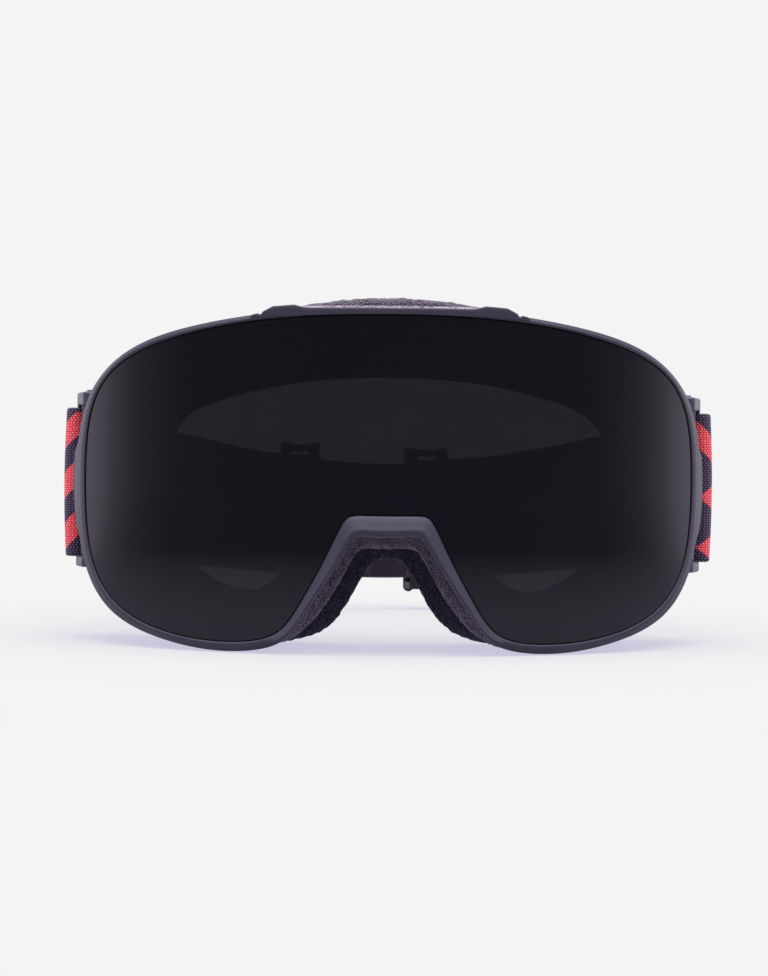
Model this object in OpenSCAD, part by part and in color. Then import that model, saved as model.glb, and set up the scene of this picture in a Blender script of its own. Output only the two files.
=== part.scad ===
// Ski goggles: a moulded frame with a smoked cylindrical double lens, three layers of face foam,
// vent foams, two hinged outriggers and an elastic strap with two adjusting sliders.
// The goggles stand on the bottom of the frame and look towards -Y, with +Z up.
// Left is the -X side and right is the +X side. The origin is on the floor, under the middle.

/* [Lens and rim] */
// Radius of the rim's front face, seen from above
rim_r = 110; // [106:1:120]
// How far the rim's front stands proud of the lens
lip = 0.4; // [0.3:0.1:1]
// Thickness of the outer lens
outer_lens_t = 1.4; // [1:0.1:1.6]
// Gap between the lenses, filled at the edge by the gasket
lens_gap = 3; // [2:0.5:3.5]
// Thickness of the inner lens
inner_lens_t = 1; // [0.8:0.1:1.2]

/* [Frame] */
// Wall thickness of the moulded frame
wall = 2.6; // [2:0.1:3.2]
// Radius of the face side, seen from above
face_r = 112; // [108:1:125]
// Distance from the rim's front to the back of the frame, at the nose
frame_depth = 26; // [24:0.5:30]

/* [Foam] */
// Thickness of the light base foam
base_foam_t = 8; // [6:0.5:9]
// Thickness of the dark soft foam
soft_foam_t = 9; // [7:0.5:10]
// Thickness of the fleece facing
fleece_t = 2; // [1:0.1:2.5]

/* [Outriggers] */
// Hinge pin radius
pin_r = 1.1; // [1:0.05:1.3]
// Running clearance round the hinge pin
pin_fit = 0.04; // [0.02:0.01:0.08]
// Half the thickness of the flat strap bar
bar_r = 0.85; // [0.7:0.05:0.95]

/* [Strap] */
// Width of the webbing
strap_w = 42.6; // [38:0.2:43]
// Thickness of one layer of webbing
strap_t = 1.6; // [1.2:0.1:1.7]
// Distance from the rim's front to the back of the strap's curve
strap_back = 226; // [200:1:240]
// How far the back of the strap droops below its ends
strap_droop = 13.5; // [0:0.5:18]

/* [Sliders] */
// Length of a slider along the strap
slider_l = 18; // [15:0.5:20]
// Height of a slider across the strap
slider_h = 54; // [51:0.5:56]

/* [Hidden] */

ROUND = 96;
SPLINE_STEPS = 6;
TALL = 140;

// Half outlines seen from the front, from the top down to the nose, as spline control points [x, z].
rim_half = [
    [0, 92], [25.5, 92], [51.5, 88.5], [73.5, 82], [88, 68.5], [90, 46.5], [87.5, 24.5], [78, 8],
    [59, 1.5], [44, -1.5], [28.5, 1], [23.5, 8.5], [13.5, 23.5], [9, 32], [5, 31], [0, 31.5]
];
lens_half = [
    [0, 90.5], [26, 90], [48.5, 87.5], [74, 80], [85, 67.5], [86.5, 47.5], [84.5, 23], [74, 9.5],
    [58, 4], [42, 3], [29, 4.5], [23.5, 13], [17, 24.5], [12, 37.5], [6, 37], [0, 36.5]
];
eye_half = [
    [0, 75.5], [23.5, 74.5], [46.5, 69], [60.5, 60.5], [61, 44], [58, 23.5], [47, 17],
    [36, 14], [26.5, 22.5], [16.5, 39], [7, 45.5], [0, 47.5]
];
base_foam_half = [
    [0, 89.5], [25, 89.5], [50, 86.5], [70, 80], [82.5, 67], [84.5, 46.5], [82, 24], [74, 8],
    [58, -0.5], [44, -1.5], [30, 0], [22, 6.5], [13, 20.5], [8.5, 28.5], [4, 27.5], [0, 28]
];
soft_foam_half = [
    [0, 89.5], [25, 89.5], [50, 86.5], [70, 80], [82.5, 67], [84.5, 46.5], [82, 24], [74, 8],
    [58, -0.5], [44, -1.5], [30, 0.5], [19, 3], [13, 8.5], [8, 18.5], [3.5, 25], [0, 24.5]
];

function mirrored(half) = concat(half, [for (i = [len(half) - 2:-1:1]) [-half[i][0], half[i][1]]]);
function blend4(a, b, c, d, t) =
    ((1 - t) ^ 3 * a + (3 * t ^ 3 - 6 * t ^ 2 + 4) * b + (-3 * t ^ 3 + 3 * t ^ 2 + 3 * t + 1) * c + t ^ 3 * d) / 6;
// Closed cubic spline guided by the points p
function spline(p) = let (n = len(p)) [
    for (i = [0:n - 1], k = [0:SPLINE_STEPS - 1])
        blend4(p[(i + n - 1) % n], p[i], p[(i + 1) % n], p[(i + 2) % n], k / SPLINE_STEPS)
];
function outline(half) = spline(mirrored(half));
// Closed curve c moved inwards by d
function inset(c, d) = let (n = len(c)) [
    for (i = [0:n - 1])
        let (a = c[(i + n - 1) % n], b = c[(i + 1) % n], t = (b - a) / norm(b - a))
            c[i] + d * [t[1], -t[0]]
];

rim_outer = outline(rim_half);
rim_inner = outline(lens_half);
wall_inset = 2;
wall_outer = inset(rim_outer, wall_inset);
wall_inner = inset(rim_outer, wall_inset + wall);
lens_edge = inset(rim_inner, -0.8);
eye_opening = outline(eye_half);

// Curved front-to-back surfaces, each [radius seen from above, Y of its middle]
rim_front = [rim_r, 0];
lens_front = [rim_r - lip, lip];
lens_back = [lens_front[0] - outer_lens_t, lens_front[1] + outer_lens_t];
gasket_back = [lens_back[0] - lens_gap, lens_back[1] + lens_gap];
inner_back = [gasket_back[0] - inner_lens_t, gasket_back[1] + inner_lens_t];
flange_t = 2;
flange_front = [face_r, frame_depth - flange_t];
frame_back = [face_r, frame_depth];
base_foam_back = [face_r, frame_depth + base_foam_t];
soft_foam_back = [face_r, base_foam_back[1] + soft_foam_t];
fleece_back = [face_r, soft_foam_back[1] + fleece_t];
top_foam_front = [rim_r - 12, 12];
// Front and back of the foam-filled windows in the bottom wall
window_front = [inner_back[0] - 4, inner_back[1] + 4];
window_back = [face_r, flange_front[1] - 2];

// Outrigger places, for the right side
hinge = [86.2, 52];
bar = [[91.1, 62.6], [91.1, 66.5]];
plate_rim = 0.15;
lug_z = [[24.4, 27.4], [65.1, 68.1]];
arm_z = [[21.4, 24.1], [68.4, 72.6]];
plate_z = [[23, 24.1], [68.4, 69.5]];
knuckle_r = 2.3;
block_end = [86.9, 59];
block_end_r = 2;
pocket_fit = 0.35;
// Where a lug starts, inside the frame's wall
lug_root = 76;

// Strap places. The band follows a parabola seen from above, with a straight stretch at each slider.
strap_end_x = 88;
strap_bow = 0.01823;
strap_end_y = strap_back - strap_bow * strap_end_x ^ 2;
strap_z = 24.6;
// The strap's loop round its bar, as [x, y] circles that the webbing's outer face follows
loop_front = [91.85, 63];
loop_front_r = 3.4;
loop_end = [88.3, strap_end_y - 2.4];
layer_gap = 0.1;
left_flat = [-45, -14];
right_flat = [1, 33];
left_slider_x = -29;
right_slider_x = 12;
band_x = concat(
    [for (i = [0:8]) -strap_end_x + i * (strap_end_x + left_flat[0]) / 8],
    [for (i = [0:4]) left_flat[1] + i * (right_flat[0] - left_flat[1]) / 4],
    [for (i = [0:8]) right_flat[1] + i * (strap_end_x - right_flat[1]) / 8]
);

// Slider sections: two side bars outside the band, one middle bar inside it, two links
side_bar_r = 2;
side_bar_x = slider_l / 2 - side_bar_r;
side_bar_y = layer_gap + strap_t + 0.4 + side_bar_r;
centre_bar_r = 1.1;
loop_fit = 0.05;
loop_t = 1;
centre_bar_y = -layer_gap - strap_t - 0.3 - loop_t - loop_fit - centre_bar_r;
link_h = 2.4;
link_inset = 1.4;

function plan(x) = [x, strap_back - strap_bow * x ^ 2];
function sag(p) = strap_z - strap_droop * (p[1] - strap_end_y) / (strap_back - strap_end_y);
function unit(v) = v / norm(v);
function path_normal(pts, i) =
    let (t = unit(pts[min(i + 1, len(pts) - 1)] - pts[max(i - 1, 0)])) [-t[1], t[0]];

// Point and direction on the straight stretch between plan(flat[0]) and plan(flat[1])
function flat_at(flat, x) =
    let (a = plan(flat[0]), b = plan(flat[1])) a + (b - a) * (x - flat[0]) / (flat[1] - flat[0]);
function flat_turn(flat) =
    let (d = plan(flat[1]) - plan(flat[0])) atan2(d[1], d[0]);

// Overall depth, up to the right slider's rear bar
right_turn = flat_turn(right_flat);
depth = flat_at(right_flat, right_slider_x)[1] - side_bar_x * sin(right_turn)
    + side_bar_y * cos(right_turn) + side_bar_r;

module placed() {
    translate([0, -depth / 2, 0]) children();
}

// An outline seen from the front, run from front to back through the whole object
module through(points) {
    translate([0, TALL, 0]) rotate([90, 0, 0]) linear_extrude(TALL + 10) polygon(points);
}

module inside(surface) {
    translate([0, surface[0] + surface[1], -20]) cylinder(r = surface[0], h = TALL, $fn = ROUND);
}

// The part of its children between two curved surfaces
module between(front, back) {
    difference() {
        intersection() {
            children();
            inside(front);
        }
        inside(back);
    }
}

module above_floor() {
    intersection() {
        children();
        translate([-TALL, -20, 0]) cube([2 * TALL, 2 * TALL, TALL]);
    }
}

module ring(outer, inner) {
    difference() {
        through(outer);
        through(inner);
    }
}

// The top vent's cover stands in a notch of the rim
notch_half = 37.5;
notch_z = 91;

module both_sides() {
    children();
    mirror([1, 0, 0]) children();
}

// Room in the rim for the outriggers' knuckles
module knuckle_pockets() {
    for (z = arm_z)
        translate([hinge[0], hinge[1], z[0] - pocket_fit])
            cylinder(r = knuckle_r + pocket_fit, h = z[1] - z[0] + 2 * pocket_fit, $fn = ROUND);
}

module front_rim() {
    color([0.26, 0.235, 0.305]) placed() above_floor() difference() {
        union() {
            between(rim_front, lens_front) ring(rim_outer, rim_inner);
            between(lens_front, inner_back) ring(rim_outer, lens_edge);
        }
        translate([-notch_half, -5, notch_z]) cube([2 * notch_half, 40, 10]);
        both_sides() {
            knuckle_pockets();
            for (z = lug_z) translate([0, 0, z[0]]) linear_extrude(z[1] - z[0]) lug_plan();
        }
    }
}

module top_vent_cover() {
    crest = [[23.5, 92], [26.5, 92.9], [33, 92.6], [36, 91.9], [37, notch_z]];
    face = concat(crest, [for (i = [len(crest) - 1:-1:0]) [-crest[i][0], crest[i][1]]]);
    color([0.27, 0.245, 0.315]) placed() difference() {
        between(rim_front, top_foam_front) through(face);
        through(lens_edge);
    }
}

module outer_lens() {
    color([0.08, 0.07, 0.1, 0.85]) placed() between(lens_front, lens_back)
        through(lens_edge);
}

module lens_gasket() {
    color([0.12, 0.11, 0.13]) placed() between(lens_back, gasket_back)
        ring(inset(rim_inner, -0.2), inset(rim_inner, 4));
}

module inner_lens() {
    color([0.5, 0.5, 0.55, 0.4]) placed() between(gasket_back, inner_back)
        through(inset(rim_inner, -0.2));
}

module vent_windows() {
    pitch = 14;
    width = 9;
    for (x = [-2 * pitch:pitch:2 * pitch])
        translate([x - width / 2, 12, 80]) cube([width, 11, 20]);
}

// Where a vent foam fills the bottom wall on the right side
module bottom_window() {
    from = 36;
    to = 60;
    between(window_front, window_back) translate([from, 0, -1]) cube([to - from, 60, 9]);
}

module lug_plan() {
    root_half = 4;
    hull() {
        translate(hinge) circle(r = knuckle_r, $fn = ROUND);
        translate([lug_root, hinge[1] - root_half]) square([2, 2 * root_half]);
    }
}

module hinge_lugs() {
    for (z = lug_z)
        difference() {
            translate([0, 0, z[0]]) linear_extrude(z[1] - z[0]) lug_plan();
            translate([hinge[0], hinge[1], z[0] - 1]) cylinder(r = pin_r, h = 6, $fn = ROUND);
        }
}

module frame_body() {
    color([0.2, 0.185, 0.235]) placed() {
        difference() {
            union() {
                between(inner_back, flange_front) ring(wall_outer, wall_inner);
                difference() {
                    both_sides() hinge_lugs();
                    through(wall_inner);
                    inside(flange_front);
                }
            }
            vent_windows();
            both_sides() bottom_window();
        }
    }
}

module face_flange() {
    color([0.2, 0.185, 0.235]) placed()
        between(flange_front, frame_back) ring(wall_outer, eye_opening);
}

module top_vent_foam() {
    crown = [[0, 96.6], [14, 96.6], [26, 96.2], [34, 94.6], [39, 92.4], [41.5, 89], [41.5, 84]];
    shape = concat(crown, [for (i = [len(crown) - 1:-1:1]) [-crown[i][0], crown[i][1]]]);
    front = [top_foam_front[0] - 0.2, top_foam_front[1] + 0.2];
    color([0.45, 0.42, 0.47]) placed() between(front, frame_back) difference() {
        through(shape);
        through(wall_outer);
    }
}

module vent_foam() {
    intersection() {
        ring(inset(rim_outer, 2), wall_inner);
        bottom_window();
    }
}

module left_vent_foam() {
    color([0.16, 0.15, 0.18]) placed() mirror([1, 0, 0]) vent_foam();
}

module right_vent_foam() {
    color([0.16, 0.15, 0.18]) placed() vent_foam();
}

module base_foam() {
    color([0.3, 0.28, 0.34]) placed() above_floor() between(frame_back, base_foam_back)
        ring(outline(base_foam_half), inset(eye_opening, -0.5));
}

module soft_foam() {
    color([0.1, 0.09, 0.11]) placed() above_floor() between(base_foam_back, soft_foam_back)
        ring(outline(soft_foam_half), inset(eye_opening, -1.5));
}

module fleece_facing() {
    color([0.05, 0.05, 0.06]) placed() above_floor() between(soft_foam_back, fleece_back)
        ring(outline(soft_foam_half), inset(eye_opening, -1.5));
}

// The plan of a plate from the hinge to the strap bar
module plate_plan() {
    hull() {
        translate(hinge) circle(r = knuckle_r, $fn = ROUND);
        for (p = bar) translate(p) circle(r = bar_r + plate_rim, $fn = 48);
    }
}

// The plan of the thick block at the hinge
module block_plan() {
    hull() {
        translate(hinge) circle(r = knuckle_r, $fn = ROUND);
        translate(block_end) circle(r = block_end_r, $fn = 48);
    }
}

module outrigger() {
    difference() {
        for (i = [0, 1]) {
            translate([0, 0, arm_z[i][0]]) linear_extrude(arm_z[i][1] - arm_z[i][0]) block_plan();
            translate([0, 0, plate_z[i][0]]) linear_extrude(plate_z[i][1] - plate_z[i][0]) plate_plan();
        }
        translate([hinge[0], hinge[1], 0]) cylinder(r = pin_r + pin_fit, h = 100, $fn = ROUND);
    }
    sunk = 0.4;
    translate([0, 0, plate_z[0][0] + sunk])
        linear_extrude(plate_z[1][1] - plate_z[0][0] - 2 * sunk) hull() {
            for (p = bar) translate(p) circle(r = bar_r, $fn = 48);
        }
}

module left_outrigger() {
    color([0.22, 0.2, 0.25]) placed() mirror([1, 0, 0]) outrigger();
}

module right_outrigger() {
    color([0.22, 0.2, 0.25]) placed() outrigger();
}

module hinge_pins() {
    for (z = [[arm_z[0][0] + 0.6, lug_z[0][1]], [lug_z[1][0], arm_z[1][1] - 0.6]])
        translate([hinge[0], hinge[1], z[0]]) cylinder(r = pin_r, h = z[1] - z[0], $fn = ROUND);
}

module left_hinge_pins() {
    color("silver") placed() mirror([1, 0, 0]) hinge_pins();
}

module right_hinge_pins() {
    color("silver") placed() hinge_pins();
}

// Webbing along the plan points pts, between the offsets from and to on the outer side of the path
module webbing(pts, from, to) {
    n = len(pts);
    rings = [
        for (i = [0:n - 1])
            let (p = pts[i], m = path_normal(pts, i), z = sag(p))
                for (c = [[from, 0], [to, 0], [to, strap_w], [from, strap_w]])
                    [p[0] + m[0] * c[0], p[1] + m[1] * c[0], z + c[1]]
    ];
    sides = [
        for (i = [0:n - 2], k = [0:3])
            let (a = 4 * i + k, b = 4 * i + (k + 1) % 4) each [[a, a + 4, b], [b, a + 4, b + 4]]
    ];
    polyhedron(rings, concat(sides, [[0, 1, 2], [0, 2, 3]], [
        [4 * n - 4, 4 * n - 2, 4 * n - 3], [4 * n - 4, 4 * n - 1, 4 * n - 2]
    ]));
}

module strap_band() {
    color([0.75, 0.2, 0.24]) placed()
        webbing([for (x = band_x) plan(x)], layer_gap, layer_gap + strap_t);
}

module left_strap_tail() {
    pts = concat(
        [for (i = [0:8]) plan(-strap_end_x + i * (strap_end_x + left_flat[0]) / 8)],
        [flat_at(left_flat, left_slider_x + 5)]
    );
    color([0.3, 0.2, 0.3]) placed() webbing(pts, -layer_gap - strap_t, -layer_gap);
}

module right_strap_tail() {
    pts = concat(
        [plan(right_flat[0])],
        [for (i = [0:8]) plan(right_flat[1] + i * (strap_end_x - right_flat[1]) / 8)]
    );
    color([0.3, 0.2, 0.3]) placed() webbing(pts, -layer_gap - strap_t, -layer_gap);
}

// The webbing's turn round the strap bar, up to where its two layers lie together
module strap_loop() {
    translate([0, 0, strap_z]) linear_extrude(strap_w) difference() {
        hull() {
            translate(loop_front) circle(r = loop_front_r, $fn = ROUND);
            translate(loop_end) circle(r = strap_t + layer_gap, $fn = 48);
        }
        hull() {
            translate(loop_front) circle(r = loop_front_r - strap_t, $fn = ROUND);
            translate(loop_end - [0, 1]) circle(r = layer_gap, $fn = 48);
        }
    }
}

module left_strap_loop() {
    color([0.75, 0.2, 0.24]) placed() mirror([1, 0, 0]) strap_loop();
}

module right_strap_loop() {
    color([0.75, 0.2, 0.24]) placed() strap_loop();
}

// A slider with its own X along the strap, Y away from the head and Z = 0 at the strap's middle
module slider() {
    for (s = [-1, 1])
        translate([s * side_bar_x, side_bar_y, 0]) {
            cylinder(r = side_bar_r, h = slider_h - 2 * side_bar_r, center = true, $fn = 48);
            for (e = [-1, 1])
                translate([0, 0, e * (slider_h / 2 - side_bar_r)]) sphere(r = side_bar_r, $fn = 48);
        }
    for (e = [-1, 1])
        translate([0, 0, e * (slider_h - 2 * link_inset - link_h) / 2 - link_h / 2])
            linear_extrude(link_h) hull() {
                for (s = [-1, 1])
                    translate([s * side_bar_x, side_bar_y]) circle(r = side_bar_r - 0.3, $fn = 32);
                translate([0, centre_bar_y]) circle(r = centre_bar_r + 0.4, $fn = 32);
            }
    translate([0, centre_bar_y, 0])
        cylinder(r = centre_bar_r, h = slider_h - 2 * link_inset - link_h, center = true, $fn = 48);
}

// The end of the strap's inner layer, sewn round the slider's middle bar
module slider_loop() {
    translate([0, centre_bar_y, -strap_w / 2 + 1]) difference() {
        cylinder(r = centre_bar_r + loop_fit + loop_t, h = strap_w - 2, $fn = 48);
        translate([0, 0, -1]) cylinder(r = centre_bar_r + loop_fit, h = strap_w, $fn = 48);
    }
}

module on_strap(flat, x) {
    p = flat_at(flat, x);
    translate([p[0], p[1], sag(p) + strap_w / 2]) rotate([0, 0, flat_turn(flat)]) children();
}

module left_slider() {
    color([0.13, 0.12, 0.14]) placed() on_strap(left_flat, left_slider_x) slider();
}

module right_slider() {
    color([0.13, 0.12, 0.14]) placed() on_strap(right_flat, right_slider_x) slider();
}

module left_slider_loop() {
    color([0.3, 0.2, 0.3]) placed() on_strap(left_flat, left_slider_x) slider_loop();
}

module right_slider_loop() {
    color([0.3, 0.2, 0.3]) placed() on_strap(right_flat, right_slider_x) slider_loop();
}

frame_body();
face_flange();
front_rim();
top_vent_cover();
outer_lens();
lens_gasket();
inner_lens();
top_vent_foam();
left_vent_foam();
right_vent_foam();
base_foam();
soft_foam();
fleece_facing();
left_outrigger();
right_outrigger();
left_hinge_pins();
right_hinge_pins();
strap_band();
left_strap_loop();
right_strap_loop();
left_strap_tail();
right_strap_tail();
left_slider();
right_slider();
left_slider_loop();
right_slider_loop();
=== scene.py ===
"""Looks of the ski goggles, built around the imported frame. Lengths are in millimetres in the goggles'
own frame, with Y = 0 at the front of the rim, until place() turns them into metres in the row frame."""

import math

import bmesh
import bpy
import numpy as np
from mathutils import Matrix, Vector, noise
from mathutils.geometry import convex_hull_2d, delaunay_2d_cdt


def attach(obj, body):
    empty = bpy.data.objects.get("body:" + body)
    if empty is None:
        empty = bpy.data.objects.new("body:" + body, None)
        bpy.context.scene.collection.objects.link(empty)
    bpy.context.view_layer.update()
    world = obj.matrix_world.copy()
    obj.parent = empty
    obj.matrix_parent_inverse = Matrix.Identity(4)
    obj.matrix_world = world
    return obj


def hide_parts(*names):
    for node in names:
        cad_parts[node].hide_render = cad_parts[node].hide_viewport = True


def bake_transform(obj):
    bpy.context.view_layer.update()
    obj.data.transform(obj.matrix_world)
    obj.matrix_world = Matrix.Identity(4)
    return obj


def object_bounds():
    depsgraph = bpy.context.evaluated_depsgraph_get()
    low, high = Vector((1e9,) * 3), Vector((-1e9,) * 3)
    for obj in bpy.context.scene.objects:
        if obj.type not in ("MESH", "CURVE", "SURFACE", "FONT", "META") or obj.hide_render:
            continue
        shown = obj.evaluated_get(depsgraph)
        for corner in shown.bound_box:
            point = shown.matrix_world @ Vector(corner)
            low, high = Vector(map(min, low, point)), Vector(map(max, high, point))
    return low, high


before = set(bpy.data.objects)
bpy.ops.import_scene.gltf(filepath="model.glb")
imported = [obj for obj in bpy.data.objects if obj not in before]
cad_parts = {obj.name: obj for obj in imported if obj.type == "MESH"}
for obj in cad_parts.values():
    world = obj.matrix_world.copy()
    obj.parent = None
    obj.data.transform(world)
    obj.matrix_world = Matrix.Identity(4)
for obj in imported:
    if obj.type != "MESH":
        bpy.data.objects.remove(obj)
CAD_BOX = [list(corner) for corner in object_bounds()]
FRONT_Y = CAD_BOX[0][1]
MM = 0.001
# the noise that roughens the foams is the same on each run
noise.seed_set(1)

# ---------------------------------------------------------------- sizes shared with the CAD model
RIM_R = 110.0
LIP = 0.4
OUTER_LENS_T = 1.4
LENS_GAP = 3.0
INNER_LENS_T = 1.0
WALL_INSET = 2.0
WALL = 2.6
FACE_R = 112.0
FLANGE_FRONT = 24.0
FRAME_BACK = 26.0
BASE_FOAM_BACK = 34.0
SOFT_FOAM_BACK = 43.0
FLEECE_BACK = 45.0
HINGE = (86.2, 52.0)
KNUCKLE_R = 2.3
BAR = [(90.8, 62.6), (90.8, 66.2)]
BAR_R = 0.6
BLOCK_END = (89.0, 58.6)
BLOCK_END_R = 1.9
LUG_Z = [(24.4, 27.4), (64.6, 67.5)]
ARM_Z = [(20.9, 24.1), (67.6, 71.5)]
PLATE_Z = [(22.2, 23.3), (67.6, 68.6)]
STRAP_W = 42.6
STRAP_T = 1.6
STRAP_BACK = 226.0
STRAP_DROOP = 13.5
STRAP_END_X = 88.0
STRAP_BOW = 0.01823
STRAP_END_Y = STRAP_BACK - STRAP_BOW * STRAP_END_X**2
STRAP_Z = 24.6
LOOP_FRONT = (92.1, 63.0)
LOOP_R = 3.4
LAYER = 0.1 + STRAP_T / 2
LEFT_FLAT = (-45.0, -14.0)
RIGHT_FLAT = (1.0, 33.0)
LEFT_SLIDER_X = -29.0
RIGHT_SLIDER_X = 12.0
CENTRE_BAR = -4.15

RIM_HALF = [
    (0, 92), (25.5, 92), (51.8, 88.8), (74.2, 83.4), (88.4, 69.3), (90, 46.5), (88.4, 24.1), (79, 7.7),
    (59, 1.5), (44, -0.3), (28.5, 1.3), (23.5, 8.5), (13.5, 23.5), (9.6, 30.6), (7.6, 32), (4, 31.4),
    (0, 31.4),
]
LENS_HALF = [
    (0, 90.5), (26, 90), (48.8, 87.7), (74.6, 81.2), (85.4, 68.2), (86.5, 47.5), (85.3, 22.6), (74.9, 9.1),
    (58, 3.6), (42, 2.4), (29, 4), (23.5, 13), (17, 24.5), (12.2, 35.2), (10.4, 37.3), (5, 37.1), (0, 37.1),
]
EYE_HALF = [
    (0, 75.5), (23.5, 74.5), (48, 69.6), (63.2, 62.8), (61.5, 44), (58, 23.5), (47, 17),
    (36, 14), (26.5, 22.5), (16.5, 39), (7, 45.5), (0, 47.5),
]
BASE_FOAM_HALF = [
    (0, 89.5), (25, 89.5), (50, 86.5), (70, 80), (82.5, 67), (84.5, 46.5), (82, 24), (74, 8),
    (58, -0.5), (44, -1.5), (30, 0), (21, 5.7), (12.2, 19.8), (8.5, 28.5), (4, 27.5), (0, 28),
]
SOFT_FOAM_HALF = [
    (0, 89.5), (25, 89.5), (50, 86.5), (70, 80), (82.5, 67), (84.5, 46.5), (82, 24), (74, 8),
    (58, -0.5), (44, -1.5), (30, 0.5), (19, 3), (13, 8.5), (8, 18.5), (3.5, 25), (0, 24.5),
]


# ---------------------------------------------------------------- geometry helpers
def spline(half, steps):
    """Closed cubic spline guided by a half outline mirrored across X = 0, from the top towards +X."""
    points = np.array(list(half) + [(-x, z) for x, z in half[-2:0:-1]], float)
    count = len(points)
    curve = []
    for i in range(count):
        a, b, c, d = (points[(i + k) % count] for k in (-1, 0, 1, 2))
        for k in range(steps):
            t = k / steps
            curve.append(
                ((1 - t) ** 3 * a + (3 * t**3 - 6 * t**2 + 4) * b
                 + (-3 * t**3 + 3 * t**2 + 3 * t + 1) * c + t**3 * d) / 6
            )
    return np.array(curve)


def normals(curve):
    """Unit vectors that point into a closed clockwise curve."""
    along = np.roll(curve, -1, 0) - np.roll(curve, 1, 0)
    along /= np.linalg.norm(along, axis=1)[:, None]
    return np.stack([along[:, 1], -along[:, 0]], 1)


def inset(curve, distance):
    """A closed curve moved inwards by a distance, which may differ from point to point."""
    return curve + normals(curve) * np.reshape(distance, (-1, 1))


def distances(line):
    """How far along a line each of its points lies."""
    return np.concatenate([[0], np.cumsum(np.linalg.norm(np.diff(line, axis=0), axis=1))])


def resample(curve, count):
    """A closed curve at evenly spaced points."""
    closed = np.vstack([curve, curve[:1]])
    run = distances(closed)
    at = np.linspace(0, run[-1], count, endpoint=False)
    return np.stack([np.interp(at, run, closed[:, k]) for k in (0, 1)], 1)


def on_surface(curve, radius, middle):
    """Points of a front-view curve on an upright cylinder whose front line is at Y = middle."""
    x, z = curve[:, 0], curve[:, 1]
    y = middle + radius - np.sqrt(np.maximum(radius**2 - x**2, 1.0))
    return np.stack([x, y, z], 1)


def bulge_y(sheet, x):
    """The Y at a given X of an upright cylinder, which is its radius and the Y of its front line."""
    return sheet[0] + sheet[1] - np.sqrt(sheet[0] ** 2 - x * x)


def place(points):
    """Millimetres in the goggles' frame to metres in the row frame."""
    out = np.asarray(points, float) * MM
    out[..., 1] += FRONT_Y
    return out


def smoothstep(x):
    x = np.clip(x, 0, 1)
    return x * x * (3 - 2 * x)


def new_object(name, vertices, faces, material, uvs=None, smooth=True):
    mesh = bpy.data.meshes.new(name)
    mesh.from_pydata([tuple(v) for v in vertices], [], [tuple(f) for f in faces])
    mesh.update()
    if uvs is not None:
        layer = mesh.uv_layers.new(name="UVMap")
        index = np.zeros(len(mesh.loops), int)
        mesh.loops.foreach_get("vertex_index", index)
        layer.data.foreach_set("uv", np.asarray(uvs, float)[index].ravel())
    mesh.polygons.foreach_set("use_smooth", [smooth] * len(mesh.polygons))
    piece = bpy.data.objects.new(name, mesh)
    bpy.context.scene.collection.objects.link(piece)
    piece.data.materials.append(material)
    return piece


def orient(piece):
    """Makes a closed piece's faces look outwards."""
    work = bmesh.new()
    work.from_mesh(piece.data)
    bmesh.ops.recalc_face_normals(work, faces=work.faces)
    work.to_mesh(piece.data)
    work.free()
    piece.data.update()
    return piece


def loft(name, rings, material, closed=True, caps=False, uvs=None, smooth=True):
    """Quads between rings of points. closed joins the last ring to the first; caps fills the ends."""
    rings = [np.asarray(r, float) for r in rings]
    count = len(rings[0])
    faces = []
    last = len(rings) if closed else len(rings) - 1
    for j in range(last):
        a, b = j * count, ((j + 1) % len(rings)) * count
        for i in range(count):
            k = (i + 1) % count
            faces.append((a + i, a + k, b + k, b + i))
    if caps:
        faces.append(tuple(range(count)))
        faces.append(tuple(reversed(range((len(rings) - 1) * count, len(rings) * count))))
    return orient(new_object(name, np.vstack(rings), faces, material, uvs, smooth))


def bevel(piece, width, segments):
    modifier = piece.modifiers.new("bevel", "BEVEL")
    modifier.width = width * MM
    modifier.segments = segments
    modifier.limit_method = "ANGLE"
    modifier.angle_limit = math.radians(30)
    modifier.harden_normals = True
    return piece


def apply_modifiers(piece):
    bpy.context.view_layer.update()
    shape = bpy.data.meshes.new_from_object(piece.evaluated_get(bpy.context.evaluated_depsgraph_get()))
    piece.modifiers.clear()
    piece.data = shape
    return piece


def finished(piece, body, slot, *nodes):
    """Rides on a body and hides the CAD nodes that it stands for. The slot is not used."""
    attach(piece, body)
    if nodes:
        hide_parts(*nodes)
    return piece


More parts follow.
